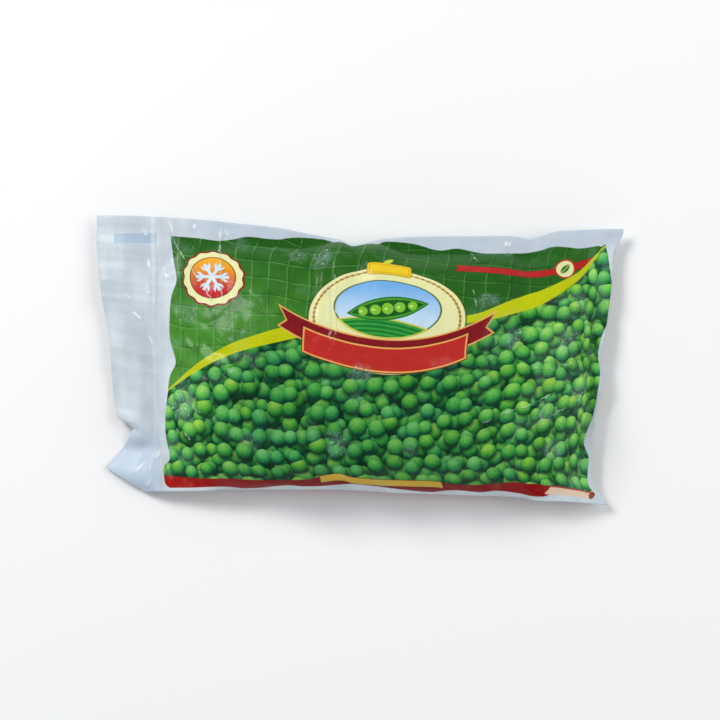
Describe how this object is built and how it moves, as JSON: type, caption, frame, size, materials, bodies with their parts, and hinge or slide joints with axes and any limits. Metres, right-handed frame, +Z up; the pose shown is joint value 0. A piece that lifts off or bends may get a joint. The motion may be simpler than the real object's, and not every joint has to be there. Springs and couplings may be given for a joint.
{
  "type": "bag of frozen peas",
  "caption": "Sealed plastic film bag of frozen peas, lying flat: puffy filled pillow form, a loose film tail at one end and a narrow weld at the other.",
  "frame": {"origin": "on the table, under the middle of the bag's outline", "axes": "+X along the bag from the loose tail to the right-hand weld, +Y across it from the near long side to the far one, +Z up out of the printed front"},
  "size_m": [0.2794, 0.1544, 0.0406],
  "materials": {
    "printed_film": "glossy printed film, green with milky clear margins"
  },
  "bodies": {
    "root": {"pea_bag": "printed_film"}
  },
  "joints": []
}
